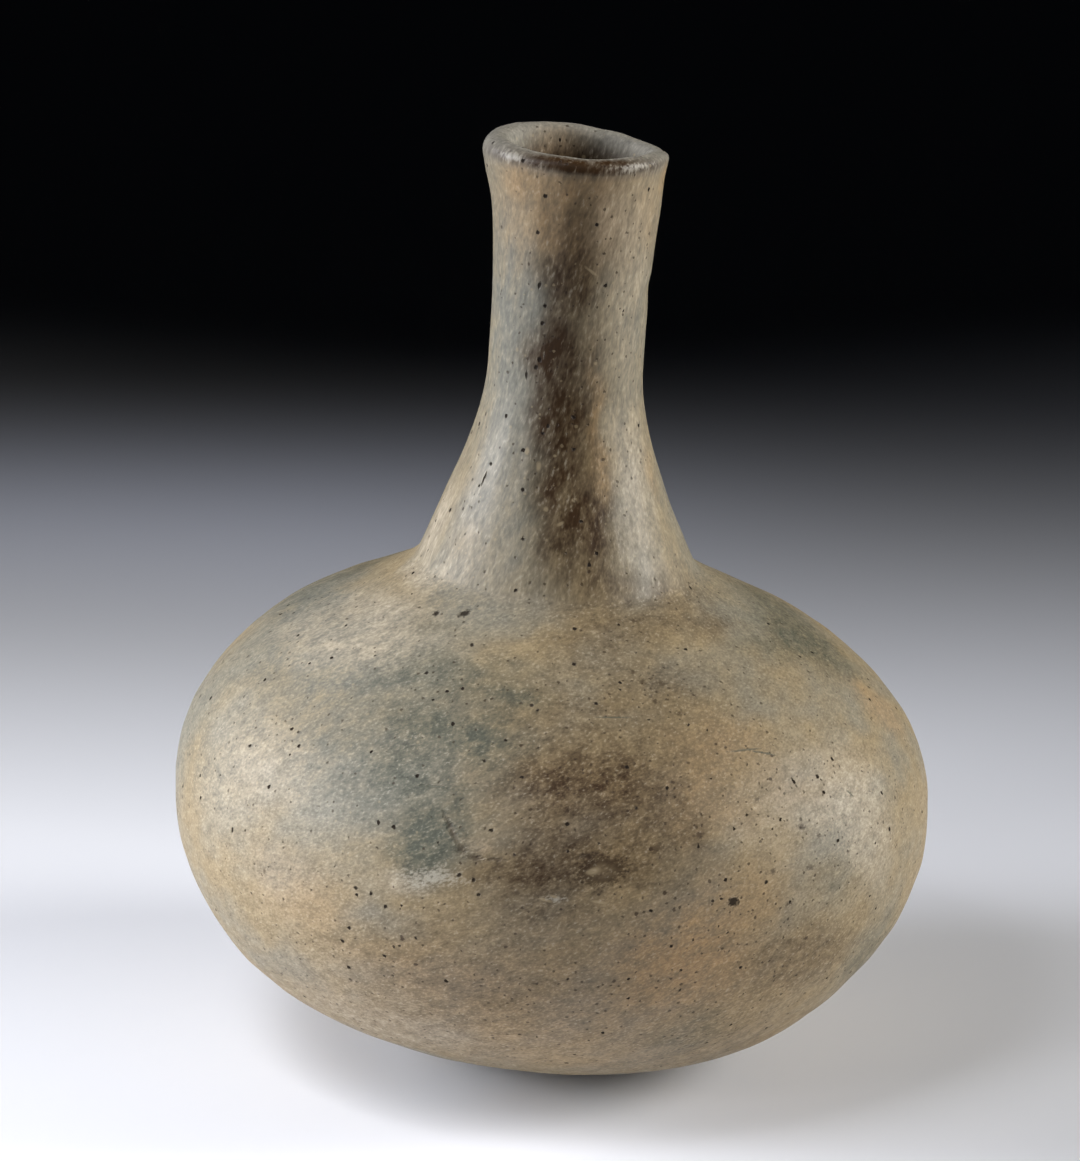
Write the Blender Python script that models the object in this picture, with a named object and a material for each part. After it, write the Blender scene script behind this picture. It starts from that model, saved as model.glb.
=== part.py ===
"""Long-neck bottle: a hollow, hand-built vessel of fired clay, standing with a slight lean.

The vessel is one turned form. Its profile is worked out from named sizes: a rounded underside,
a rounded shoulder, and a neck that sweeps up to a narrow waist and opens out again to the lip.
The neck sits a little off the body's axis, the whole vessel leans, and the lowest spot of the
rounded underside is worn flat, so that the bottle stands on it.
"""

import bmesh
import bpy
import numpy as np

# Lengths are in metres. Heights are measured along the vessel's own axis, from its underside.

# Body
BODY_RADIUS = 0.0897            # outside, at the widest ring
WIDEST_HEIGHT = 0.0614          # height of the widest ring
SHOULDER_RISE = 0.0607          # from the widest ring to where the shoulder would close
UNDERSIDE_FULLNESS_UP = 2.13    # superellipse exponents: 2 is an ellipse, more is fuller
UNDERSIDE_FULLNESS_OUT = 2.05
SHOULDER_FULLNESS_UP = 2.31
SHOULDER_FULLNESS_OUT = 1.52

# Neck
TOTAL_HEIGHT = 0.220            # from the underside to the top of the lip
WAIST_RADIUS = 0.0180           # outside, where the neck is narrowest
WAIST_HEIGHT = 0.1670
NECK_SPREAD = 0.492             # how fast the neck widens downwards, as a slope
NECK_SWEEP = 0.0212             # length over which it goes from straight to that slope
MOUTH_FLARE = 0.0040            # how much wider the lip is than the waist
FLARE_SHARPNESS = 3.0           # a higher power keeps the flare nearer the lip
JUNCTION_BLEND = 0.0123         # softens the line where neck meets shoulder
NECK_OFFSET = 0.0030            # the neck stands this far back from the lean, off the body's axis
OFFSET_START = 0.080            # the offset grows between these two heights
OFFSET_END = 0.140

# Wall, stance and foot
WALL = 0.0058
LEAN = np.radians(3.44)         # towards +X
FOOT_DEPTH = 0.0012             # how much of the underside is worn away to make the flat foot

# Fineness of the faceted solid
STEPS_AROUND = 56
RINGS_UNDERSIDE = 17
RINGS_ABOVE = 31
RINGS_LIP = 7
RINGS_INSIDE = 28
FINE_STEPS = 4000               # points along each exact curve that the rings are read from
WELD = 0.00005                  # joins corners that the foot's cut leaves closer than this

CLAY_COLOUR = (0.235, 0.185, 0.135)
CLAY_ROUGHNESS = 0.55


def smooth_max(a, b, width):
    """The larger of two values, rounded over where they are closer than width."""
    near = np.clip(width - np.abs(a - b), 0.0, None) / width
    return np.maximum(a, b) + near ** 2 * width / 4


def radius_above(height):
    """Outer radius above the widest ring: the larger of the shoulder's and the neck's."""
    rise = np.clip((height - WIDEST_HEIGHT) / SHOULDER_RISE, 0.0, 1.0)
    shoulder = BODY_RADIUS * (1 - rise ** SHOULDER_FULLNESS_UP) ** (1 / SHOULDER_FULLNESS_OUT)
    below = np.clip(WAIST_HEIGHT - height, 0.0, None)
    over = np.clip(height - WAIST_HEIGHT, 0.0, None) / (TOTAL_HEIGHT - WAIST_HEIGHT)
    sweep = NECK_SPREAD * (np.hypot(below, NECK_SWEEP) - NECK_SWEEP)
    neck = WAIST_RADIUS + sweep + MOUTH_FLARE * over ** FLARE_SHARPNESS
    return smooth_max(shoulder, neck, JUNCTION_BLEND)


def underside(turn):
    """Radius and height of the underside, for a turn of 0 at its middle to pi / 2 at the widest ring."""
    radius = BODY_RADIUS * np.sin(turn) ** (2 / UNDERSIDE_FULLNESS_OUT)
    height = WIDEST_HEIGHT * (1 - np.cos(turn) ** (2 / UNDERSIDE_FULLNESS_UP))
    return radius, height


def even_steps(radius, height, count):
    """Points at equal spacing along a profile, its two ends included."""
    run = np.concatenate([[0.0], np.cumsum(np.hypot(np.diff(radius), np.diff(height)))])
    at = np.linspace(0.0, run[-1], count)
    return np.interp(at, run, radius), np.interp(at, run, height)


def wall_profile():
    """Outer profile from the underside's middle to the lip, over the lip, and down the inside."""
    low_r, low_h = underside(np.linspace(0.0, np.pi / 2, FINE_STEPS))
    high_h = np.linspace(WIDEST_HEIGHT, TOTAL_HEIGHT - WALL / 2, FINE_STEPS)
    high_r = radius_above(high_h)

    # The inside runs one wall thickness in from the outside, square to it.
    all_r = np.concatenate([low_r, high_r[1:]])
    all_h = np.concatenate([low_h, high_h[1:]])
    along_r, along_h = np.gradient(all_r), np.gradient(all_h)
    length = np.hypot(along_r, along_h)
    inner_r = all_r - WALL * along_h / length
    inner_h = all_h + WALL * along_r / length
    inner_r[0] = 0.0

    # The lip is half a circle from the outer wall's top to the inner wall's top.
    middle_r, middle_h = (all_r[-1] + inner_r[-1]) / 2, (all_h[-1] + inner_h[-1]) / 2
    start = np.arctan2(all_h[-1] - middle_h, all_r[-1] - middle_r)
    turn = start + np.linspace(0.0, np.pi, RINGS_LIP + 2)[1:-1]
    lip_r, lip_h = middle_r + WALL / 2 * np.cos(turn), middle_h + WALL / 2 * np.sin(turn)

    parts = [even_steps(low_r, low_h, RINGS_UNDERSIDE),
             even_steps(high_r, high_h, RINGS_ABOVE),
             (lip_r, lip_h),
             even_steps(inner_r[::-1], inner_h[::-1], RINGS_INSIDE)]
    parts[1] = (parts[1][0][1:], parts[1][1][1:])
    return np.concatenate([p[0] for p in parts]), np.concatenate([p[1] for p in parts])


def stand(x, y, height):
    """Lean the vessel towards +X and set its lowest spot over the origin, FOOT_DEPTH below z = 0."""
    radius, low = underside(np.linspace(0.0, np.pi / 2, FINE_STEPS))
    lowest = np.argmin(low * np.cos(LEAN) - radius * np.sin(LEAN))
    foot_x = radius[lowest] * np.cos(LEAN) + low[lowest] * np.sin(LEAN)
    foot_z = low[lowest] * np.cos(LEAN) - radius[lowest] * np.sin(LEAN)
    leaned_x = x * np.cos(LEAN) + height * np.sin(LEAN) - foot_x
    leaned_z = height * np.cos(LEAN) - x * np.sin(LEAN) - foot_z - FOOT_DEPTH
    return leaned_x, y, leaned_z


def neck_shift(height):
    """How far a ring's middle stands off the body's axis: none on the body, NECK_OFFSET up the neck."""
    share = np.clip((height - OFFSET_START) / (OFFSET_END - OFFSET_START), 0.0, 1.0)
    return -NECK_OFFSET * share ** 2 * (3 - 2 * share)


def vessel_points(radius, height):
    """One ring of points for each profile point, standing with its lean."""
    around = np.linspace(0.0, 2 * np.pi, STEPS_AROUND, endpoint=False)
    x = radius[:, None] * np.cos(around) + neck_shift(height)[:, None]
    y = radius[:, None] * np.sin(around)
    return np.stack(stand(x, y, height[:, None]), axis=-1)


def clay_material():
    material = bpy.data.materials.new("fired_clay")
    material.use_nodes = True
    shader = material.node_tree.nodes["Principled BSDF"]
    shader.inputs["Base Color"].default_value = (*CLAY_COLOUR, 1.0)
    shader.inputs["Roughness"].default_value = CLAY_ROUGHNESS
    shader.inputs["Metallic"].default_value = 0.0
    return material


def wear_foot_flat(bm):
    """Cut away what lies below z = 0 and close the cut with one flat face."""
    whole = bm.verts[:] + bm.edges[:] + bm.faces[:]
    cut = bmesh.ops.bisect_plane(bm, geom=whole, plane_co=(0, 0, 0), plane_no=(0, 0, 1), clear_inner=True)
    rim = [item for item in cut["geom_cut"] if isinstance(item, bmesh.types.BMEdge)]
    bmesh.ops.edgenet_fill(bm, edges=rim)
    bmesh.ops.remove_doubles(bm, verts=bm.verts, dist=WELD)


def make_bottle():
    """Skin the rings with four-sided faces, close the two ends on the axis, and wear the foot flat."""
    radius, height = wall_profile()
    rings = vessel_points(radius[1:-1], height[1:-1])
    ends = vessel_points(radius[[0, -1]], height[[0, -1]])[:, 0]

    bm = bmesh.new()
    rows = [[bm.verts.new(point) for point in ring] for ring in rings]
    bottom, floor = (bm.verts.new(point) for point in ends)
    for step in range(STEPS_AROUND):
        after = (step + 1) % STEPS_AROUND
        bm.faces.new((bottom, rows[0][after], rows[0][step]))
        bm.faces.new((floor, rows[-1][step], rows[-1][after]))
        for lower, upper in zip(rows, rows[1:]):
            bm.faces.new((lower[step], lower[after], upper[after], upper[step]))
    wear_foot_flat(bm)
    bmesh.ops.recalc_face_normals(bm, faces=bm.faces)

    mesh = bpy.data.meshes.new("bottle")
    bm.to_mesh(mesh)
    bm.free()
    mesh.materials.append(clay_material())
    mesh.shade_smooth()
    bottle = bpy.data.objects.new("bottle", mesh)
    bpy.context.scene.collection.objects.link(bottle)
    return bottle


for old in list(bpy.data.objects):
    bpy.data.objects.remove(old, do_unlink=True)
make_bottle()
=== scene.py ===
"""Long-neck bottle of hand-built, burnished, low-fired clay, on a plain pale floor."""

import bpy
import numpy as np
from bpy.props import FloatProperty, FloatVectorProperty, PointerProperty
from mathutils import Matrix, Vector


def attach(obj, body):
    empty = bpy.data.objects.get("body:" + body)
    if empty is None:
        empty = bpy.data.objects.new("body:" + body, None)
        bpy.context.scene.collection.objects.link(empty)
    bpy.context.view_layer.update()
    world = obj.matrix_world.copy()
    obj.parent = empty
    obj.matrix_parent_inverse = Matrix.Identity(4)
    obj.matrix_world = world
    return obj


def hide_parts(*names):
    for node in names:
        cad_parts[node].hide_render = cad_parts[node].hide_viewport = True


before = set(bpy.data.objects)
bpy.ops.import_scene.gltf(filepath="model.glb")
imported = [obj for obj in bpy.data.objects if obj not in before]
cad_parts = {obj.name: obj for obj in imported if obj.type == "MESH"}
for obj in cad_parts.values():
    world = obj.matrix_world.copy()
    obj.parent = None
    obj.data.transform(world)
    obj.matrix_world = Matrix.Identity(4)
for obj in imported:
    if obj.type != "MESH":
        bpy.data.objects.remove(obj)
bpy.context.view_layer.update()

bl_info = {
    "name": "Long-neck bottle",
    "version": (1, 0, 0),
    "blender": (4, 5, 0),
    "location": "View3D > Sidebar > Bottle",
    "description": "Makes a hand-built clay bottle with a burnished, smoke-clouded surface",
    "category": "Add Mesh",
}

MM = 0.001


def linear(hex_colour):
    """An sRGB hex colour as linear red, green and blue."""
    srgb = np.array([int(hex_colour[i:i + 2], 16) for i in (1, 3, 5)]) / 255
    return tuple(np.where(srgb > 0.04045, ((srgb + 0.055) / 1.055) ** 2.4, srgb / 12.92).tolist())


def length(name, description, default):
    return FloatProperty(name=name, description=description, default=default, min=0.0, unit="LENGTH",
                         precision=4)


def colour(name, description, default):
    return FloatVectorProperty(name=name, description=description, default=linear(default), subtype="COLOR",
                               size=3, min=0.0, max=1.0)


class VesselSizes(bpy.types.PropertyGroup):
    """Sizes of the clay form, in metres, with heights along the vessel's own axis."""

    body_radius: length("Body radius", "Outside, at the widest ring", 0.0897)
    widest_height: length("Widest height", "Height of the widest ring", 0.0614)
    shoulder_rise: length("Shoulder rise", "From the widest ring to where the shoulder would close", 0.0607)
    total_height: length("Total height", "From the underside to the top of the lip", 0.220)
    waist_radius: length("Waist radius", "Outside, where the neck is narrowest", 0.0180)
    waist_height: length("Waist height", "Height of the narrowest part of the neck", 0.1670)
    neck_sweep: length("Neck sweep", "Length over which the neck goes from straight to sloping", 0.0212)
    mouth_flare: length("Mouth flare", "How much wider the lip is than the waist", 0.0040)
    junction_blend: length("Junction blend", "Softens the line where neck meets shoulder", 0.0165)
    neck_offset: length("Neck offset", "How far back from the lean the neck stands", 0.0030)
    wall: length("Wall", "Thickness of the clay", 0.0058)
    foot_depth: length("Foot depth", "How much of the underside is worn away", 0.0012)
    lean: FloatProperty(name="Lean", description="Tilt towards +X", default=np.radians(3.44), subtype="ANGLE")


class ClayColours(bpy.types.PropertyGroup):
    """Colours of the fired clay and of what fire, soil and wear did to it, and of the painted shade and
    highlight that some of them also stand for.
    """

    clay: colour("Clay", "Buff body of the fired clay", "#988768")
    clay_grey: colour("Grey clay", "Where the fire was short of air", "#848276")
    bloom: colour("Bloom", "Pale, worn and leached clay", "#b4a893")
    blush: colour("Blush", "Reddish tan, well oxidised clay", "#a28661")
    # This colour also serves as painted shade on the throat's far wall.
    scorch_and_shade: colour("Scorch", "Dark brown where soot burned in", "#402b13")
    # This colour also serves as painted shade at the shoulder's sides.
    smoke: colour("Smoke cloud", "Grey-green cloud left by smoke", "#585a4d")
    lip: colour("Lip", "Grey clay of the handled lip", "#8a867b")
    # This colour also serves as painted highlight on the front of the lip.
    wear: colour("Wear", "Whitish scuffs on the lip and body", "#b5afa0")
    # This colour also serves as painted shade in the creases.
    speck_and_shade: colour("Speck", "Dark temper grains and filled pits", "#33220f")
    pit: colour("Pit", "Shade and soil inside open pits", "#1e140a")
    grain: colour("Grain", "Pale temper grains", "#b8a684")
    hollow: colour("Hollow", "Soil-stained clay inside the vessel", "#453f31")


# Form: the numbers that aren't lengths, and the fineness of the exact curves.
FINE = 4000                     # points along each exact curve that the rings are read from
LIP_FINE = 400                  # the same for the lip's arc
UNDERSIDE_FULLNESS = (2.05, 2.13)   # superellipse exponents out and up: 2 is an ellipse, more is fuller
SHOULDER_FULLNESS = (1.52, 2.31)
NECK_SPREAD = 0.492             # how fast the neck widens downwards, as a slope
FLARE_SHARPNESS = 3.0           # a higher power keeps the flare nearer the lip
NECK_OFFSET_FROM, NECK_OFFSET_TO = 0.080, 0.140     # heights between which the neck's offset grows
LIP_FULLNESS = 0.85             # 1 is half a circle, less is flatter on top
FOOT_BLEND = 0.4 * MM           # softens the edge of the worn foot


def smooth_max(a, b, width):
    """The larger of two values, rounded over where they are closer than width."""
    near = np.clip(width - np.abs(a - b), 0.0, None) / width
    return np.maximum(a, b) + near ** 2 * width / 4


def smooth_step(value, low, high):
    """0 below low, 1 above high, an even S between."""
    share = np.clip((value - low) / (high - low), 0.0, 1.0)
    return share ** 2 * (3 - 2 * share)


def underside(s, turn):
    """A superellipse from the middle of the underside (turn 0) to the widest ring (turn pi / 2)."""
    out, up = UNDERSIDE_FULLNESS
    return (s.body_radius * np.sin(turn) ** (2 / out), s.widest_height * (1 - np.cos(turn) ** (2 / up)))


def radius_above(s, height):
    """The larger of a superellipse shoulder and a neck that sweeps from a slope to a waist and a flare."""
    out, up = SHOULDER_FULLNESS
    rise = np.clip((height - s.widest_height) / s.shoulder_rise, 0.0, 1.0)
    shoulder = s.body_radius * (1 - rise ** up) ** (1 / out)
    below = np.clip(s.waist_height - height, 0.0, None)
    over = np.clip(height - s.waist_height, 0.0, None) / (s.total_height - s.waist_height)
    sweep = NECK_SPREAD * (np.hypot(below, s.neck_sweep) - s.neck_sweep)
    neck = s.waist_radius + sweep + s.mouth_flare * over ** FLARE_SHARPNESS
    return smooth_max(shoulder, neck, s.junction_blend)


def along(radius, height):
    """How far each point of a profile is from its first one, along the profile."""
    return np.concatenate([[0.0], np.cumsum(np.hypot(np.diff(radius), np.diff(height)))])


def neck_shift(s, height):
    """A ring's middle stands off the body's axis by nothing on the body and neck_offset up the neck."""
    return -s.neck_offset * smooth_step(height, NECK_OFFSET_FROM, NECK_OFFSET_TO)


def stand(s, x, y, height):
    """Lean the vessel towards +X and set its lowest spot over the origin, foot_depth below z = 0."""
    radius, low = underside(s, np.linspace(0.0, np.pi / 2, FINE))
    cos, sin = np.cos(s.lean), np.sin(s.lean)
    lowest = np.argmin(low * cos - radius * sin)
    foot_x = radius[lowest] * cos + low[lowest] * sin
    foot_z = low[lowest] * cos - radius[lowest] * sin
    return x * cos + height * sin - foot_x, y, height * cos - x * sin - foot_z - s.foot_depth


def outer_profile(s):
    """Radius, height and run along the outside, from the underside's middle to where the lip starts."""
    low_r, low_h = underside(s, np.linspace(0.0, np.pi / 2, FINE))
    high_h = np.linspace(s.widest_height, s.total_height - s.wall / 2, FINE)
    radius = np.concatenate([low_r, radius_above(s, high_h)[1:]])
    height = np.concatenate([low_h, high_h[1:]])
    return radius, height, along(radius, height)


def inner_profile(s, radius, height):
    """The outer profile moved one wall inwards, square to itself, and read from the lip down."""
    step_r, step_h = np.gradient(radius), np.gradient(height)
    size = np.hypot(step_r, step_h)
    inner_r, inner_h = radius - s.wall * step_h / size, height + s.wall * step_r / size
    inner_r[0] = 0.0
    return inner_r[::-1], inner_h[::-1]


def lip_profile(s, outer, inner):
    """Half a superellipse over the top, from the outer wall's end to the inner wall's end."""
    middle, across = (outer + inner) / 2, (outer - inner) / 2
    turn = np.linspace(0.0, np.pi, LIP_FINE)
    out = np.sign(np.cos(turn)) * np.abs(np.cos(turn)) ** LIP_FULLNESS
    up = np.sin(turn) ** LIP_FULLNESS
    return middle[0] + across[0] * out - across[1] * up, middle[1] + across[1] * out + across[0] * up


# Rings of points: (upper limit, spacing along the profile, points in each ring), limits as outer radius
# up to the widest ring, then as height. Fewer points where rings are small keeps the faces square.
BOTTOM_ZONES = ((0.018, 1.5 * MM, 120), (0.042, 1.4 * MM, 240), (None, 1.3 * MM, 480))
UPPER_ZONES = ((0.112, 1.25 * MM, 480), (None, 1.5 * MM, 240))
LIP_RINGS, LIP_POINTS = 18, 240
INSIDE_ZONES = ((0.03, 2.5 * MM, 120), (None, 5.0 * MM, 120))
LEAST_STEP = 0.05 * MM          # a ring closer than this to the one before it is left out
INSIDE_FROM = 0.45              # how far over the lip the inside's look begins, as a share of its arc


def zone_rings(run, limit_values, zones):
    """Positions along run for each zone's rings, each zone ending where limit_values reach its limit."""
    start, found = run[0], []
    for limit, spacing, points in zones:
        end = run[-1] if limit is None else np.interp(limit, limit_values, run)
        count = max(2, int(round((end - start) / spacing)))
        at = np.linspace(start, end, count, endpoint=False)
        found.append((at, np.full(count, points)))
        start = end
    return np.concatenate([f[0] for f in found]), np.concatenate([f[1] for f in found])


def vessel_rings(s):
    """Every ring's radius, height, run along the wall, number of points and share of the inside's look,
    and the height of the floor inside."""
    out_r, out_h, out_run = outer_profile(s)
    in_r, in_h = inner_profile(s, out_r, out_h)
    lip_r, lip_h = lip_profile(s, np.array([out_r[-1], out_h[-1]]), np.array([in_r[0], in_h[0]]))
    in_run = along(in_r, in_h)
    widest = FINE - 1
    parts = []
    for r, h, run, limits, zones in (
            (out_r[:FINE], out_h[:FINE], out_run[:FINE], out_r[:FINE], BOTTOM_ZONES),
            (out_r[widest:], out_h[widest:], out_run[widest:], out_h[widest:], UPPER_ZONES)):
        at, points = zone_rings(run, limits, zones)
        parts.append((np.interp(at, run, r), np.interp(at, run, h), at, points, np.zeros(len(at))))
    lip_run = along(lip_r, lip_h)
    at = np.linspace(0.0, lip_run[-1], LIP_RINGS)
    inside = smooth_step(at, lip_run[-1] * INSIDE_FROM, lip_run[-1])
    parts.append((np.interp(at, lip_run, lip_r), np.interp(at, lip_run, lip_h), out_run[-1] + at,
                  np.full(LIP_RINGS, LIP_POINTS), inside))
    at, points = zone_rings(in_run, in_r, INSIDE_ZONES)
    parts.append((np.interp(at, in_run, in_r), np.interp(at, in_run, in_h),
                  out_run[-1] + lip_run[-1] + at, points, np.ones(len(at))))
    r, h, run, points, inside = (np.concatenate(group) for group in zip(*parts))
    keep = np.concatenate([[False], np.hypot(np.diff(r), np.diff(h)) > LEAST_STEP])
    return r[keep], h[keep], run[keep], points[keep], inside[keep], in_h[-1]


def ring_faces(points):
    """Skin rings that have equal counts with four-sided faces, and halved counts with three-sided ones."""
    first = np.concatenate([[0], np.cumsum(points)])
    quads, triangles = [], []
    for ring in range(len(points) - 1):
        low, high = first[ring], first[ring + 1]
        n, m = points[ring], points[ring + 1]
        if n == m:
            k = np.arange(n)
            after = (k + 1) % n
            quads.append(np.stack([low + k, low + after, high + after, high + k], axis=1))
            continue
        fine, coarse, count = (high, low, n) if m > n else (low, high, m)
        k = np.arange(count)
        after = (k + 1) % count
        a, b, c = fine + 2 * k, fine + 2 * k + 1, fine + (2 * k + 2) % (2 * count)
        d, e = coarse + k, coarse + after
        made = np.concatenate([np.stack([a, b, d], 1), np.stack([b, e, d], 1), np.stack([b, c, e], 1)])
        triangles.append(made[:, ::-1] if m > n else made)
    return np.concatenate(quads), np.concatenate(triangles)


def mesh_from(name, points, quads, triangles):
    """A mesh from whole arrays of points, four-sided and three-sided faces."""
    mesh = bpy.data.meshes.new(name)
    corners = np.concatenate([quads.ravel(), triangles.ravel()]).astype(np.int32)
    starts = np.concatenate([np.arange(len(quads)) * 4, len(quads) * 4 + np.arange(len(triangles)) * 3])
    mesh.vertices.add(len(points))
    mesh.vertices.foreach_set("co", points.astype(np.float32).ravel())
    mesh.loops.add(len(corners))
    mesh.loops.foreach_set("vertex_index", corners)
    mesh.polygons.add(len(starts))
    mesh.polygons.foreach_set("loop_start", starts.astype(np.int32))
    mesh.update(calc_edges=True)
    mesh.validate()
    mesh.shade_smooth()
    return mesh


def ripple(places, size, seed, waves=22):
    """Soft unevenness between about -1 and 1: many sine waves of about one length in random directions."""
    rng = np.random.default_rng(seed)
    ways = rng.normal(size=(waves, 3))
    ways /= np.linalg.norm(ways, axis=1, keepdims=True)
    ways *= (2 * np.pi / size) * rng.uniform(0.65, 1.45, (waves, 1))
    phase = rng.uniform(0.0, 2 * np.pi, waves)
    return np.sin(places @ ways.T + phase).sum(axis=1) / np.sqrt(waves) * 0.9


# Broad areas of colour, fading out from the middle. Each oval is: degrees round from the front (positive to
# the right), height in mm, half width and half height in mm along the surface, degrees turned, strength.
# "peppered" isn't a colour: it is where the clay shows more dark specks.
AREAS = {
    "grey": (
        (-48, 176, 13, 38, 0, 0.85), (48, 176, 12, 38, 0, 0.55), (-58, 105, 34, 16, 0, 0.9),
        (-36, 84, 24, 15, 0, 0.65), (-75, 96, 12, 10, 0, 0.5), (48, 76, 12, 9, 0, 0.45),
        (30, 108, 20, 7, 0, 0.3), (150, 120, 60, 20, 0, 0.5), (-62, 80, 16, 16, 0, 0.6),
        (-40, 96, 30, 16, 0, 0.4), (-96, 104, 22, 16, 0, 0.8), (-88, 70, 14, 26, 0, 0.5),
        (-30, 136, 10, 16, 0, 0.6), (-30, 116, 18, 6, 0, 0.6), (-56, 121, 16, 7, 0, 0.55),
        (-88, 180, 8, 40, 0, 0.55), (88, 180, 8, 40, 0, 0.4), (-82, 74, 12, 24, 0, 0.5),
        (85, 136, 9, 14, 0, 0.5),
    ),
    "bloom": (
        (-60, 72, 15, 14, 0, 0.25), (-56, 84, 12, 8, 0, 0.2), (-68, 86, 10, 8, 0, 0.15),
        (-32, 40, 22, 9, 0, 0.15), (-44, 58, 14, 10, 0, 0.15), (-68, 118, 9, 5, 0, 0.5),
        (-76, 130, 5, 9, 0, 0.7), (-54, 106, 22, 9, 20, 0.6), (-80, 104, 10, 8, 0, 0.35),
        (54, 82, 13, 12, 0, 0.55), (56, 68, 10, 8, 0, 0.4), (-21, 67.5, 8, 2.2, 0, 0.6),
        (46, 190, 6, 22, 0, 0.3), (52, 148, 6, 14, 0, 0.4), (-30, 25, 26, 10, 0, 0.4),
        (132, 92, 24, 14, 0, 0.45), (-150, 60, 22, 12, 10, 0.4), (-12.5, 78, 3, 2, 0, 0.4),
        (26, 205, 6, 12, 0, 0.4), (-66, 111, 20, 7, 15, 0.5),
    ),
    "blush": (
        (20, 52, 16, 13, 0, 0.8), (28, 66, 13, 9, 0, 0.45), (24, 88, 11, 10, 0, 0.4),
        (31, 97, 12, 8, 0, 0.4), (-19, 44, 22, 8, 0, 0.35), (-38, 213, 6, 5, 0, 0.6),
        (2, 214.5, 10, 3, 0, 0.5), (-13, 206, 6, 9, 0, 0.5), (13, 206, 6, 9, 0, 0.5),
        (-160, 229, 8, 5, 0, 0.4), (80, 214, 4, 4, 0, 0.6), (80, 92, 8, 9, 0, 0.5),
        (-12.5, 78, 3.5, 2.5, 0, 0.5), (22, 155, 2.2, 22, 0, 0.5), (-40, 58, 15, 10, 0, 0.35),
        (68, 145, 3, 6, 0, 0.35), (40, 88, 10, 8, 0, 0.25), (-112, 48, 26, 14, 0, 0.45),
        (178, 58, 20, 16, 0, 0.4), (8, 27, 75, 20, 0, 0.4), (10, 50, 40, 18, 0, 0.3),
        (0, 206, 30, 13, 0, 0.35), (4, 84, 26, 16, 0, 0.2),
    ),
    "scorch_and_shade": (
        (-3, 208, 7, 8, 0, 0.2), (-1, 192, 8, 12, 0, 0.75), (-3, 172, 7.5, 12, 0, 0.8),
        (1, 156, 8, 11, 0, 0.8), (3, 142, 8, 10, 0, 0.86), (5, 131, 9, 7, 0, 0.55),
        (14, 124, 9, 4, 0, 0.45), (2, 218.7, 15, 1.4, 0, 0.85), (3, 220.5, 15, 1.9, 0, 0.95),
        (3, 219.4, 16, 2.2, 0, 0.5), (-50, 218.6, 11, 1.2, 0, 0.45), (50, 218.4, 12, 1.4, 0, 0.5),
        (2, 207, 9, 10, 0, 0.15), (-16, 176, 4.5, 18, 0, 0.5), (19, 134, 6, 9, 0, 0.7),
        (20, 172, 3, 8, 0, 0.2), (5, 91, 16, 8.5, 0, 0.62), (-6, 91, 10, 7, 0, 0.35),
        (6.5, 75, 11, 5.5, 0, 0.45), (-6, 73.5, 12, 4, 0, 0.45), (8, 97, 32, 25, 0, 0.4),
        (16, 80, 14, 14, 0, 0.35), (35, 117, 28, 9, 0, 0.4), (57, 113, 9, 4, 0, 0.3),
        (26, 107, 11, 7, 0, 0.22), (-2, 68, 14, 8, 0, 0.4), (-1, 79, 11, 7, 0, 0.5),
        (5, 50, 70, 17, 0, 0.14), (-10, 24, 60, 18, 0, 0.1), (42, 48, 18, 10, 0, 0.4),
        (-140, 96, 24, 13, 0, 0.35), (175, 160, 7, 24, 0, 0.5), (-14, 42, 34, 22, 0, 0.2),
        # The last oval here, inside the mouth at the back, is painted shade: it darkens the far wall of the
        # throat.
        (12, 112, 12, 8, 0, 0.3), (-14, 168, 5, 18, 0, 0.35), (-178, 231.5, 20, 3.6, 0, 0.75),
    ),
    # The ovals far round the shoulder, about 84 to 125 degrees to either side and 100 to 110 mm up, are
    # partly painted shade: they darken the outline where the light falls off.
    "smoke": (
        (-19, 78.3, 8.5, 8.5, 0, 0.85), (-18.5, 75, 8, 8, 0, 0.6), (-15, 96, 6, 5, 0, 0.45),
        (84, 103, 14, 10, 0, 0.6), (62, 40, 13, 10, 0, 0.45), (-116, 102, 20, 12, 0, 0.3),
        (-22.5, 97.5, 13, 5.5, 4, 0.65), (-20, 88, 10, 7, 0, 0.35), (-27, 89, 8, 6, 0, 0.5),
        (-28, 106, 20, 8, 8, 0.5), (-9, 104.5, 7, 4, 0, 0.55), (-12, 99, 10, 9, 0, 0.25),
        (-26, 92, 22, 20, 0, 0.45), (-104, 106, 20, 13, 0, 0.1), (96, 108, 20, 11, 0, 0.6),
        (72, 107, 15, 5, -20, 0.5), (-15, 137, 4, 15, 0, 0.2), (25, 31, 12, 8, 0, 0.35),
        (-36, 112, 10, 4, 0, 0.2), (47, 66, 8, 5, 0, 0.2), (152, 72, 30, 18, 20, 0.6),
        (-125, 108, 16, 8, 0, 0.4), (-120, 165, 6, 26, 0, 0.35),
    ),
    # The two marks on the front of the lip, at -47 and 38 degrees, are whitish wear and painted highlight
    # together: they sit where the side lamps glint on the lip.
    "scuff_and_highlight": (
        (-47, 219.3, 4.0, 1.3, 0, 0.8), (38, 218.8, 6.0, 1.2, 0, 0.8), (-17, 69, 8, 2.0, 3, 0.9),
        (0, 67.6, 3, 0.7, 5, 0.8), (-150, 219.0, 6, 1.6, 0, 0.6), (-27, 96, 3, 1.5, 0, 0.3),
        (5, 223.0, 15, 0.6, 0, 0.6),
    ),
    "peppered": (
        (40, 82, 26, 20, 0, 1.0), (24, 106, 14, 8, 0, 1.0), (30, 60, 24, 14, 0, 0.7),
        (48, 186, 8, 22, 0, 0.7), (-20, 165, 9, 30, 0, 0.6), (-22, 105, 20, 10, 0, 0.4),
        (0, 40, 60, 16, 0, 0.4), (-160, 80, 30, 20, 0, 0.5),
    ),
}
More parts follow.
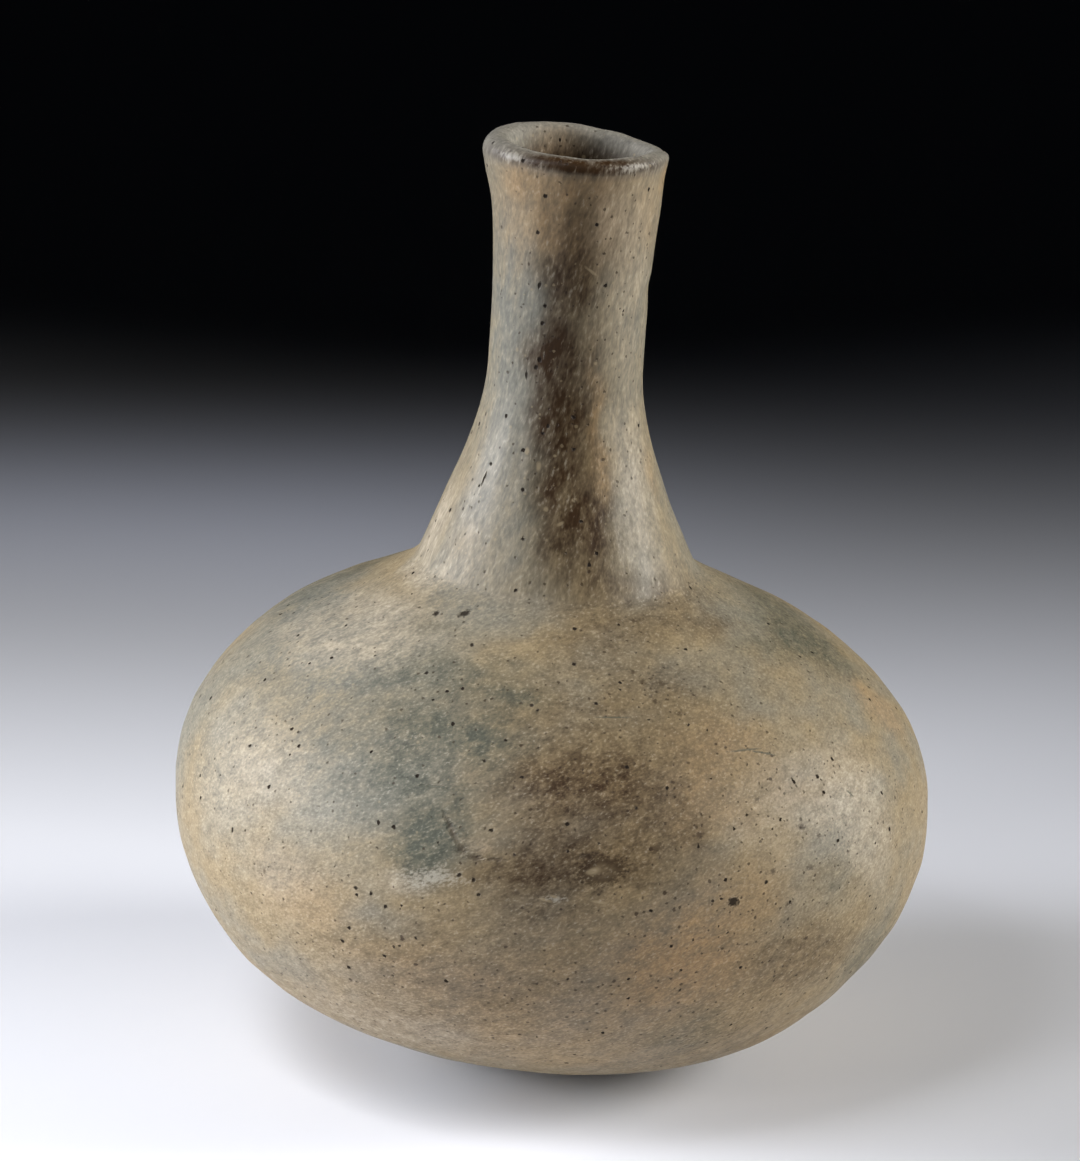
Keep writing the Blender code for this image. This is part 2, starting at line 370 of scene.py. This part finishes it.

# Small marks on the outside. Each is: degrees round from the front, height in mm, half length and half width
# in mm, degrees turned from level. Grains, smudges and rings are dark, creases are darkened as painted shade
# in their grooves, and chips are pale. Only pits, scratches and creases have depth. The list of pits stays
# this short because Cycles drops the whole material when many more marks feed the relief.
PITS = (
    (26.9, 65.9, 1.6, 1.15, 10), (24.9, 66.9, 0.45, 0.3, 0), (-42.7, 114.2, 0.9, 0.95, 30),
    (-33.3, 115.3, 1.65, 1.05, 50), (-20.8, 172.5, 0.55, 0.6, 0), (-22.8, 170.5, 0.45, 0.55, 0),
    (-30.5, 168.2, 0.35, 1.1, 0), (-49.0, 142.9, 0.3, 1.8, -6), (-47.0, 146.3, 0.4, 0.45, 0),
    (-16.9, 132.0, 0.45, 0.4, 0), (-24.0, 190.0, 0.45, 0.9, -15), (-55.5, 65.7, 0.45, 0.7, 0),
    (-29.6, 63.4, 0.55, 0.45, 0), (-10.8, 67.1, 0.45, 0.4, 0), (-11.7, 70.3, 0.45, 0.5, 20),
    (-10.0, 81.2, 0.6, 0.4, 0), (-24.5, 111.0, 0.5, 0.6, 0), (-31.0, 105.7, 0.5, 0.5, 0),
    (-5.6, 103.5, 0.5, 0.5, 0), (-13.9, 71.0, 0.6, 0.45, 60),
)
GRAINS = (
    (11.1, 94.3, 0.6, 0.5, 0), (14.1, 78.8, 0.6, 0.5, 0), (16.1, 69.2, 0.55, 0.5, 30),
    (12.0, 64.6, 0.45, 0.6, 0), (49.2, 71.7, 0.4, 0.4, 0), (40.1, 93.6, 0.5, 0.45, 0),
    (37.5, 89.7, 0.5, 0.4, 0), (41.0, 53.4, 0.5, 0.5, 0), (-50.4, 52.8, 0.4, 0.4, 0),
    (-21.9, 53.6, 0.5, 0.5, 0), (-20.0, 47.5, 0.5, 0.4, 0), (-32.0, 38.6, 0.5, 0.5, 0),
    (-6.9, 97.1, 0.4, 0.4, 0),
)
SMUDGES = (
    (24.9, 107.0, 0.8, 0.8, 0), (20.6, 107.4, 0.8, 0.8, 0), (19.3, 108.9, 0.6, 0.8, 0),
    (21.4, 104.6, 0.6, 0.6, 0), (25.7, 102.5, 0.8, 0.6, 0), (0.1, 131.3, 1.5, 1.4, 0),
    (15.0, 79.0, 1.5, 0.9, 10), (21.9, 81.1, 1.0, 0.8, 0), (33.5, 86.6, 0.7, 0.4, 0),
    (40.4, 79.7, 1.0, 0.7, 0), (40.8, 70.5, 1.3, 0.5, 0), (33.9, 71.5, 0.8, 0.6, 30),
    (36.6, 63.2, 0.6, 0.5, 0), (27.7, 116.0, 0.7, 0.5, 0), (43.4, 77.0, 0.6, 0.5, 0),
    (-47.1, 59.9, 0.7, 0.35, 60),
)
RINGS = ((6.6, 74.3, 3.9, 2.3, 10),)
CHIPS = (
    (-23.1, 151.0, 0.5, 0.7, 0), (-4.5, 150.7, 0.4, 0.3, 0), (8.0, 141.3, 0.6, 0.4, 20),
    (20.5, 172.3, 0.4, 0.4, 0), (5.4, 74.1, 1.5, 0.7, 12), (6.5, 67.4, 1.6, 0.3, -8),
    (-14.0, 148.0, 0.5, 1.0, 0), (1.0, 136.0, 0.8, 0.4, 30), (-7.0, 139.0, 0.5, 0.5, 0),
    (13.2, 194.1, 1.6, 0.3, -35), (-1.3, 67.4, 1.3, 0.3, -12), (0.1, 68.2, 1.0, 0.3, -12),
)
SCRATCHES = (
    (35.2, 95.4, 4.2, 0.25, -4), (38.8, 94.3, 3.0, 0.27, -22), (-20.2, 87.9, 3.0, 0.25, 4),
    (10.9, 102.4, 3.6, 0.2, 0), (53.0, 83.1, 1.4, 0.27, -48),
)
# Creases are shallow grooves; their dark colour is painted shade.
CREASES = (
    (-15.9, 80.0, 2.8, 0.5, -56), (-14.0, 76.6, 1.2, 0.8, -45), (-11.9, 75.2, 1.6, 0.4, -3),
    (-8.9, 75.3, 1.1, 0.28, 3), (4.0, 77.2, 1.7, 0.3, 12),
)

# Slow swells and hollows that the hand-built clay shows in the outline: ovals like those of AREAS, with mm
# out as the last number.
SWELLS = (
    (38, 18, 34, 26, 0, 1.1), (-97, 109, 26, 16, 0, -1.4), (78, 186, 5, 3.5, 0, -0.8),
    (6.4, 74.4, 5, 3, 8, -0.25), (-90, 218, 16, 9, 0, 0.9), (90, 218, 16, 9, 0, -0.9),
)

# Where the hand-shaped rim rises and dips: degrees, half width in degrees, mm up.
RIM_WAVES = ((142, 26, -1.5), (102, 26, -0.9), (-150, 25, 0.3), (15, 20, -0.3))
RIM_FADE = 18 * MM              # length of neck over which the rim's rise dies away

# Heights between which the neck's upright strokes take over from the body's level ones.
NECK_FROM, NECK_FULL = 0.112, 0.135
# The lip's own grey clay starts this far to each side of the outer edge, and ends this far down the inside.
LIP_BLEND, LIP_FADE_FROM, LIP_FADE_TO = 1.5 * MM, 10 * MM, 16 * MM

# The outlines of the areas wander this far, in waves of this size, up to where the rim's own areas begin.
DRIFT, DRIFT_SIZE, DRIFT_SEEDS = 1.5 * MM, 14 * MM, (21, 22)
DRIFT_FADE_FROM, DRIFT_FADE_TO = 0.200, 0.214
LEAST_RADIUS = 5 * MM           # keeps the wander small where the surface closes on the axis

# Relief of the clay: how the pattern is squeezed along the height (under 1 draws it out upwards), then its
# waves as (size in mm, random seed, mm out).
SWELLING = (1.0, (60, 11, 0.28))
BODY_STROKES = (2.6, (24, 12, 0.09), (11, 13, 0.035))
NECK_STROKES = (0.16, (8, 14, 0.085), (4.2, 15, 0.04))
LIP_RELIEF = (1.0, (12, 17, 0.16))
INSIDE_RELIEF = (2.0, (14, 16, 0.25))


def rim_rise(s, surface):
    """Bell curves round the rim, fading out down the neck."""
    rise = np.zeros(len(surface["run"]))
    for azimuth, half, up in RIM_WAVES:
        turned = (surface["azimuth"] - np.radians(azimuth) + np.pi) % (2 * np.pi) - np.pi
        rise += np.exp(-(turned / np.radians(half)) ** 2) * up * MM
    return rise * smooth_step(surface["height"], s.total_height - RIM_FADE, s.total_height)


def oval_reach(s, surface, at_azimuth, at_height, half_round, half_up, tilt):
    """A steep bell curve, exp(-d^3), around a named place: 1 in the middle, 0.37 at the half sizes."""
    out_r, out_h, out_run = outer_profile(s)
    turned = (surface["azimuth"] - np.radians(at_azimuth) + np.pi) % (2 * np.pi) - np.pi
    past_wall = max(0.0, at_height * MM - out_h[-1])
    u = turned * surface["radius"]
    v = surface["run"] - np.interp(at_height * MM, out_h, out_run) - past_wall
    cos, sin = np.cos(np.radians(tilt)), np.sin(np.radians(tilt))
    across, up = (u * cos + v * sin) / (half_round * MM), (v * cos - u * sin) / (half_up * MM)
    return np.exp(-np.hypot(across, up) ** 3)


def area_amounts(s, surface, places):
    """How strongly each kind of colour area shows at every point, with outlines that wander 1 or 2 mm."""
    surface = dict(surface)
    drift = DRIFT * (1 - smooth_step(surface["height"], DRIFT_FADE_FROM, DRIFT_FADE_TO))
    around, along_wall = (ripple(places, DRIFT_SIZE, seed) * drift for seed in DRIFT_SEEDS)
    surface["azimuth"] = surface["azimuth"] + around / np.maximum(surface["radius"], LEAST_RADIUS)
    surface["run"] = surface["run"] + along_wall
    amounts = {}
    for kind, ovals in AREAS.items():
        left = np.ones(len(surface["run"]))
        for *oval, strength in ovals:
            left *= 1 - strength * oval_reach(s, surface, *oval)
        amounts[kind] = 1 - left
    return amounts


def mark_frame(s, azimuth, height, tilt):
    """Where a mark sits on the outside and how it is turned: X along the mark, Z out of the clay."""
    out_r, out_h, _ = outer_profile(s)
    turn, up = np.radians(azimuth), height * MM
    below, radius, over = np.interp([up - MM, up, up + MM], out_h, out_r)
    slope = (over - below) / (2 * MM)
    place = stand(s, radius * np.sin(turn) + neck_shift(s, up), -radius * np.cos(turn), up)
    round_way = Vector((np.cos(turn), np.sin(turn), 0.0))
    up_way = Vector((slope * np.sin(turn), -slope * np.cos(turn), 1.0)).normalized()
    axes = Matrix((round_way, up_way, round_way.cross(up_way))).transposed()
    turned = Matrix.Rotation(s.lean, 3, "Y") @ axes @ Matrix.Rotation(np.radians(tilt), 3, "Z")
    return tuple(float(v) for v in place), tuple(turned.to_euler())


def ripples(places, squeeze, *waves):
    """Ripples added up, in metres out, in a pattern that is squeezed along the height."""
    squeezed = places * np.array([1.0, 1.0, squeeze])
    return sum(ripple(squeezed, size * MM, seed) * out * MM for size, seed, out in waves)


def relief(s, places, surface):
    """How far the clay stands out from the true form: slow hand-built swells, then burnishing strokes."""
    neck, inside = surface["neck"], surface["inside"]
    swell = ripples(places, *SWELLING) * (1 - 0.5 * neck)
    for *oval, out in SWELLS:
        swell += oval_reach(s, surface, *oval) * out * MM
    strokes_round, strokes_up = ripples(places, *BODY_STROKES), ripples(places, *NECK_STROKES)
    lip = ripples(places, *LIP_RELIEF) * surface["lip"]
    outside = swell + strokes_round * (1 - neck) + strokes_up * neck + lip
    return outside * (1 - inside) + ripples(places, *INSIDE_RELIEF) * inside


def vessel_surface(s):
    """Every point of the vessel, ring by ring and then the two ends on the axis, as arrays by name."""
    r, h, run, points, inside, floor = vessel_rings(s)
    slope_r, slope_h = np.gradient(r), np.gradient(h)
    size = np.hypot(slope_r, slope_h)
    first = np.repeat(np.cumsum(points) - points, points)
    turn = (np.arange(points.sum()) - first) / np.repeat(points, points) * 2 * np.pi

    def each(values, ends):
        return np.append(np.repeat(values, points), ends)

    surface = {
        "azimuth": np.append(turn - np.pi, [0.0, 0.0]), "radius": each(r, [0.0, 0.0]),
        "height": each(h, [0.0, floor]), "run": each(run, [0.0, run[-1]]),
        "inside": each(inside, [0.0, 1.0]),
        "normal_r": each(slope_h / size, [0.0, 0.0]), "normal_h": each(-slope_r / size, [-1.0, 1.0]),
    }
    lip_start = outer_profile(s)[2][-1]
    surface["neck"] = smooth_step(surface["height"], NECK_FROM, NECK_FULL)
    on_lip = smooth_step(surface["run"], lip_start - LIP_BLEND, lip_start + LIP_BLEND)
    past_lip = smooth_step(surface["run"], lip_start + LIP_FADE_FROM, lip_start + LIP_FADE_TO)
    surface["lip"] = on_lip * (1 - past_lip)
    return surface, points


class BOTTLE_OT_vessel(bpy.types.Operator):
    """Make the hollow vessel: underside, body, neck, lip and inside, in one skin"""

    bl_idname = "bottle.vessel"
    bl_label = "Make the vessel"

    def execute(self, context):
        s = context.scene.vessel_sizes
        surface, points = vessel_surface(s)
        sin, cos = np.sin(surface["azimuth"]), np.cos(surface["azimuth"])
        radius, height = surface["radius"], surface["height"]
        places = np.stack([radius * sin, -radius * cos, height], axis=1)
        out = relief(s, places, surface)
        radius = radius + surface["normal_r"] * out
        height = height + surface["normal_h"] * out + rim_rise(s, surface)
        x, y, z = stand(s, radius * sin + neck_shift(s, surface["height"]), -radius * cos, height)
        z = smooth_max(z, 0.0, FOOT_BLEND)
        quads, triangles = ring_faces(points)
        total, last = int(points.sum()), points[-1]
        k = np.arange(points[0])
        bottom = np.stack([np.full(len(k), total), (k + 1) % len(k), k], 1)
        k = np.arange(last)
        top = np.stack([np.full(last, total + 1), total - last + k, total - last + (k + 1) % last], 1)
        triangles = np.concatenate([triangles, bottom, top])
        mesh = mesh_from("vessel", np.stack([x, y, z], axis=1), quads, triangles)
        amounts = area_amounts(s, surface, places)
        amounts.update(neck=surface["neck"], inside=surface["inside"], lip=surface["lip"])
        for name, values in amounts.items():
            attribute = mesh.attributes.new(name, "FLOAT", "POINT")
            attribute.data.foreach_set("value", values.astype(np.float32))
        vessel = bpy.data.objects.new("vessel", mesh)
        context.scene.collection.objects.link(vessel)
        mesh.materials.append(burnished_earthenware(s, context.scene.clay_colours))
        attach(vessel, "root")
        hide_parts("bottle")
        return {"FINISHED"}


def add(tree, kind, inputs=None, **settings):
    """Add a node, set its settings, and set or link its inputs, which are named or numbered."""
    made = tree.nodes.new(kind)
    for name, value in settings.items():
        setattr(made, name, value)
    for name, value in (inputs or {}).items():
        socket = made.inputs[name]
        if isinstance(value, bpy.types.NodeSocket):
            tree.links.new(value, socket)
        else:
            socket.default_value = value
    return made


def calc(tree, operation, *values, **settings):
    """The result of a Math node."""
    return add(tree, "ShaderNodeMath", dict(enumerate(values)), operation=operation, **settings).outputs[0]


def ramp(tree, value, from_min=0.0, from_max=1.0, to_min=0.0, to_max=1.0):
    """A value moved from one range to another, and held within it."""
    return add(tree, "ShaderNodeMapRange", {
        "Value": value, "From Min": from_min, "From Max": from_max,
        "To Min": to_min, "To Max": to_max}).outputs[0]


def mix(tree, share, under, over, **settings):
    """One colour laid over another."""
    return add(tree, "ShaderNodeMix", {0: share, 6: under, 7: over}, data_type="RGBA", **settings).outputs[2]


MARK_REACH = 4 * MM             # half size of a mark square to the clay, so that it covers the relief


def nearest(tree, place, s, marks):
    """Distance from the nearest of some marks, where 1 is that mark's own edge."""
    found = None
    for azimuth, height, half_length, half_width, tilt in marks:
        at, turned = mark_frame(s, azimuth, height, tilt)
        moved = add(tree, "ShaderNodeMapping", {
            "Vector": place, "Location": at, "Rotation": turned,
            "Scale": (half_length * MM, half_width * MM, MARK_REACH)}, vector_type="TEXTURE")
        far = add(tree, "ShaderNodeVectorMath", {0: moved.outputs[0]}, operation="LENGTH").outputs["Value"]
        found = far if found is None else calc(tree, "MINIMUM", found, far)
    return found


def spots(tree, away, chance, limit, radius):
    """1 on the scattered grains whose chance is over the limit, out to their radius in cells."""
    spot = ramp(tree, calc(tree, "DIVIDE", away, radius), from_min=1.25, from_max=0.75)
    return calc(tree, "MULTIPLY", spot, calc(tree, "GREATER_THAN", chance, limit))


# Unevenness of the clay's colour and surface: name, size in mm, detail, roughness.
NOISES = (("cloud", 26, 2.0, 0.6), ("mottle", 3.6, 3.0, 0.62), ("sand", 0.9, 2.0, 0.65))
# The clay was rubbed level and a little upwards on the body, and straight up on the neck, so its pattern is
# squeezed and sheared along the height, and drawn out from RUBBED_UP_FROM on.
RUBBED_SHEAR, RUBBED_SQUEEZE = -0.35, 1.5
RUBBED_UP_FROM, RUBBED_UP_STRETCH = 0.118, 0.3

GRAIN_SPACING = 1.7 * MM        # of the scattered grains
# The marks broken up here include the painted highlights on the front of the lip.
SCUFF_AND_HIGHLIGHT_RAGGED = 2.6              # how much the sand breaks up the scuffs
CRUMB_BREAK = 2.2               # how sharply the crumb of the clay breaks up the layers of colour
# Marks placed one by one: name, list, and the distances at which they fade out and are full, where 1 is the
# mark's own edge.
MARKS = (
    ("pits", PITS, 1.15, 0.55), ("smudges", SMUDGES, 1.5, 0.5), ("grains", GRAINS, 1.2, 0.7),
    ("chips", CHIPS, 1.4, 0.6), ("scratches", SCRATCHES, 1.3, 0.7), ("creases", CREASES, 1.9, 0.3),
)


def burnished_earthenware(s, c):
    """Low-fired earthenware, coil-built, scraped and rubbed with a pebble while leather-hard, and fired in an
    open fire that clouded it with smoke. Coarse temper shows as pale grains, dark grains and open pits."""
    material = bpy.data.materials.new("burnished_earthenware")
    material.use_nodes = True
    tree = material.node_tree
    shader = tree.nodes["Principled BSDF"]
    place = add(tree, "ShaderNodeTexCoord").outputs["Object"]
    upright = add(tree, "ShaderNodeMapping", {"Vector": place, "Rotation": (0.0, -s.lean, 0.0)}).outputs[0]
    amount = {name: add(tree, "ShaderNodeAttribute", attribute_name=name).outputs["Fac"]
              for name in (*AREAS, "lip", "neck", "inside")}

    x, y, z = add(tree, "ShaderNodeSeparateXYZ", {"Vector": upright}).outputs
    above = calc(tree, "MAXIMUM", calc(tree, "SUBTRACT", z, RUBBED_UP_FROM), 0.0)
    sheared = calc(tree, "MULTIPLY_ADD", x, RUBBED_SHEAR, z)
    drawn_out = calc(tree, "MULTIPLY_ADD", above, RUBBED_UP_STRETCH - 1.0, sheared)
    rubbed = calc(tree, "MULTIPLY", drawn_out, RUBBED_SQUEEZE)
    grain_place = add(tree, "ShaderNodeCombineXYZ", {0: x, 1: y, 2: rubbed}).outputs[0]
    uneven = {}
    for name, size, detail, rough in NOISES:
        uneven[name] = add(tree, "ShaderNodeTexNoise", {
            "Vector": grain_place, "Scale": 1 / (size * MM),
            "Detail": detail, "Roughness": rough}).outputs["Fac"]
    mottle, sand = uneven["mottle"], uneven["sand"]
    crumb = add(tree, "ShaderNodeMix", {0: 0.2, 2: mottle, 3: sand}).outputs[0]

    # Colour, layer on layer: attribute, colour, and the patches that break it up.
    greying = ramp(tree, uneven["cloud"], from_min=0.42, from_max=0.68, to_max=0.7)
    hue = mix(tree, greying, (*c.clay, 1.0), (*c.clay_grey, 1.0))
    thick = calc(tree, "MULTIPLY_ADD", crumb, -CRUMB_BREAK, 1 + CRUMB_BREAK / 2)
    thin = calc(tree, "MULTIPLY_ADD", crumb, CRUMB_BREAK, 1 - CRUMB_BREAK / 2)
    # Two of these layers also carry painted shade: the dark brown one down the throat's far wall, the
    # grey-green one at the shoulder's sides.
    for name, layer, patches in (
            ("inside", c.hollow, 1.0), ("grey", c.clay_grey, thick), ("lip", c.lip, 1.0),
            ("blush", c.blush, thin), ("bloom", c.bloom, thin), ("scorch_and_shade", c.scorch_and_shade, thick),
            ("smoke", c.smoke, thick)):
        mask = calc(tree, "MULTIPLY", amount[name], patches, use_clamp=True)
        hue = mix(tree, mask, hue, (*layer, 1.0))
    for detail, low, high in ((mottle, 0.8, 1.2), (sand, 0.76, 1.24)):
        shade = ramp(tree, detail, from_min=0.25, from_max=0.75, to_min=low, to_max=high)
        hue = mix(tree, 1.0, hue, shade, blend_type="MULTIPLY")

    # Temper grains, pits and named marks, with outlines made ragged by the sand.
    cells = add(tree, "ShaderNodeTexVoronoi", {"Vector": place, "Scale": 1 / GRAIN_SPACING})
    away = calc(tree, "SUBTRACT", calc(tree, "MULTIPLY_ADD", sand, 0.5, cells.outputs["Distance"]), 0.25)
    chance, size_chance, _ = add(tree, "ShaderNodeSeparateColor", {"Color": cells.outputs["Color"]}).outputs
    radius = ramp(tree, calc(tree, "POWER", size_chance, 2.5), to_min=0.14, to_max=0.25)
    limit = ramp(tree, amount["peppered"], to_min=0.7, to_max=0.05)
    dark = spots(tree, away, chance, limit, radius)
    open_pits = calc(tree, "MULTIPLY", dark, calc(tree, "GREATER_THAN", size_chance, 0.93))
    limit = ramp(tree, amount["scorch_and_shade"], to_min=0.88, to_max=0.76)
    pale = spots(tree, away, calc(tree, "SUBTRACT", 1.0, chance), limit, radius)
    ragged = ramp(tree, sand, from_min=0.2, from_max=0.8, to_min=0.55, to_max=1.45)
    mark = {}
    for name, group, edge, core in MARKS:
        far = calc(tree, "MULTIPLY", nearest(tree, place, s, group), ragged)
        mark[name] = ramp(tree, far, from_min=edge, from_max=core)
    far = calc(tree, "MULTIPLY", nearest(tree, place, s, RINGS), ragged)
    off_edge = calc(tree, "ABSOLUTE", calc(tree, "SUBTRACT", far, 1.0))
    mark["rings"] = ramp(tree, off_edge, from_min=0.6, from_max=0.1)
    holes = calc(tree, "MAXIMUM", open_pits, mark["pits"])
    # These marks are whitish wear, and on the front of the lip painted highlight as well.
    scuff_and_highlight = calc(tree, "MULTIPLY_ADD", sand, SCUFF_AND_HIGHLIGHT_RAGGED, amount["scuff_and_highlight"])
    scuff_and_highlight = ramp(tree, scuff_and_highlight, from_min=SCUFF_AND_HIGHLIGHT_RAGGED / 2 + 0.25, from_max=SCUFF_AND_HIGHLIGHT_RAGGED / 2 + 1.0)
    # The creases are darkened here as painted shade in the groove.
    for mask, layer, strength in (
            (pale, c.grain, 0.34), (mark["smudges"], c.speck_and_shade, 0.6), (mark["creases"], c.speck_and_shade, 0.6),
            (mark["rings"], c.speck_and_shade, 0.6), (mark["chips"], c.grain, 0.5), (scuff_and_highlight, c.wear, 0.7),
            (dark, c.speck_and_shade, 0.65), (mark["grains"], c.speck_and_shade, 0.8), (mark["scratches"], c.smoke, 0.7),
            (holes, c.pit, 0.93)):
        hue = mix(tree, calc(tree, "MULTIPLY", mask, strength), hue, (*layer, 1.0))
    tree.links.new(hue, shader.inputs["Base Color"])

    # Roughness: the clay is rubbed unevenly, the neck a little more, and the pits and the inside not at all.
    shader.inputs["Specular IOR Level"].default_value = 0.3
    polish = ramp(tree, mottle, from_min=0.3, from_max=0.7, to_min=0.6, to_max=0.46)
    polish = calc(tree, "MULTIPLY_ADD", amount["neck"], -0.07, polish)
    dull = calc(tree, "MAXIMUM", holes, amount["inside"])
    tree.links.new(calc(tree, "MULTIPLY_ADD", dull, 0.4, polish), shader.inputs["Roughness"])

    # Heights in mm, added up into one bump.
    rise = None
    for detail, mm in ((mottle, 0.08), (sand, 0.06), (dark, -0.08), (holes, -0.45), (mark["scratches"], -0.1),
                       (mark["creases"], -0.2)):
        part = calc(tree, "MULTIPLY", detail, mm)
        rise = part if rise is None else calc(tree, "ADD", rise, part)
    bump = add(tree, "ShaderNodeBump", {"Height": rise, "Distance": MM, "Strength": 1.0})
    tree.links.new(bump.outputs[0], shader.inputs["Normal"])
    return material


# The stage. The camera's place and lens were worked out from the photograph's outline of the vessel.
CAMERA_PLACE = Vector((-0.00815, -1.2, 0.48411))
CAMERA_PITCH = 0.29967          # radians down from level
FOCAL_PIXELS, PHOTO_HEIGHT = 5315.98, 1161
SENSOR = 36.0                   # mm, along the photo's longer side, which is its height
FLOOR_HALF = 3.0
PAPER_COLOUR, PAPER_ROUGHNESS = "#e6e8ee", 0.9
WORLD_COLOUR, WORLD_STRENGTH = "#8890a0", 0.005
LIGHTS = (
    # name, place, size across and up, power, colour, aimed at, spread in degrees
    ("soft_left", (-0.95, 0.04, 0.43), (0.6, 0.9), 1.88, "#f5f7ff", (0.0, -0.01, 0.10), 43),
    ("soft_right", (0.93, -0.02, 0.5), (0.45, 0.85), 1.6, "#fdfbf8", (0.0, 0.03, 0.12), 42),
    ("low_left", (-0.5, -0.33, 0.22), (0.3, 0.2), 0.055, "#ffffff", (-0.07, -0.02, 0.0), 30),
    ("back_left", (-0.15, 0.28, 0.45), (0.3, 0.08), 0.014, "#dfe6ff", (-0.13, 0.43, 0.0), 30),
    ("soft_top", (-0.42, -0.3, 0.64), (0.4, 0.4), 0.98, "#fdfdff", (-0.26, -0.16, 0.0), 66),
)


class BOTTLE_OT_stage(bpy.types.Operator):
    """Set the plain pale floor, the soft studio lights and the camera"""

    bl_idname = "bottle.stage"
    bl_label = "Set the stage"

    def execute(self, context):
        mesh = bpy.data.meshes.new("floor")
        corners = [(x * FLOOR_HALF, y * FLOOR_HALF, 0.0) for x, y in ((-1, -1), (1, -1), (1, 1), (-1, 1))]
        mesh.from_pydata(corners, [], [(0, 1, 2, 3)])
        paper = bpy.data.materials.new("matt_paper")
        paper.use_nodes = True
        shader = paper.node_tree.nodes["Principled BSDF"]
        shader.inputs["Base Color"].default_value = (*linear(PAPER_COLOUR), 1.0)
        shader.inputs["Roughness"].default_value = PAPER_ROUGHNESS
        mesh.materials.append(paper)
        floor = bpy.data.objects.new("floor", mesh)
        context.scene.collection.objects.link(floor)
        for name, place, size, power, tint, target, spread in LIGHTS:
            lamp = bpy.data.lights.new(name, "AREA")
            lamp.shape = "RECTANGLE"
            lamp.size, lamp.size_y = size
            lamp.energy = power
            lamp.color = linear(tint)
            lamp.spread = np.radians(spread)
            light = bpy.data.objects.new(name, lamp)
            light.location = place
            light.rotation_euler = (Vector(target) - Vector(place)).to_track_quat("-Z", "Y").to_euler()
            light.visible_camera = False
            context.scene.collection.objects.link(light)
        world = bpy.data.worlds.new("studio")
        world.use_nodes = True
        background = world.node_tree.nodes["Background"]
        background.inputs["Color"].default_value = (*linear(WORLD_COLOUR), 1.0)
        background.inputs["Strength"].default_value = WORLD_STRENGTH
        context.scene.world = world
        context.scene.view_settings.view_transform = "Standard"
        camera = bpy.data.cameras.new("camera")
        camera.lens = FOCAL_PIXELS / PHOTO_HEIGHT * SENSOR
        camera.sensor_width = SENSOR
        eye = bpy.data.objects.new("camera", camera)
        eye.location = CAMERA_PLACE
        eye.rotation_euler = (np.pi / 2 - CAMERA_PITCH, 0.0, 0.0)
        context.scene.collection.objects.link(eye)
        context.scene.camera = eye
        return {"FINISHED"}


class BOTTLE_PT_panel(bpy.types.Panel):
    """Lists the makers and the sizes and colours that they use"""

    bl_idname = "BOTTLE_PT_panel"
    bl_label = "Long-neck bottle"
    bl_space_type = "VIEW_3D"
    bl_region_type = "UI"
    bl_category = "Bottle"

    def draw(self, context):
        layout = self.layout
        for operator in OPERATORS:
            layout.operator(operator.bl_idname)
        for group in (context.scene.vessel_sizes, context.scene.clay_colours):
            box = layout.box()
            for name in group.__annotations__:
                box.prop(group, name)


OPERATORS = (BOTTLE_OT_vessel, BOTTLE_OT_stage)
CLASSES = (VesselSizes, ClayColours, *OPERATORS, BOTTLE_PT_panel)


def register():
    for made in CLASSES:
        bpy.utils.register_class(made)
    bpy.types.Scene.vessel_sizes = PointerProperty(type=VesselSizes)
    bpy.types.Scene.clay_colours = PointerProperty(type=ClayColours)


def unregister():
    del bpy.types.Scene.clay_colours
    del bpy.types.Scene.vessel_sizes
    for made in reversed(CLASSES):
        bpy.utils.unregister_class(made)


def main():
    register()
    bpy.ops.bottle.vessel()
    bpy.ops.bottle.stage()


if __name__ == "__main__":
    main()
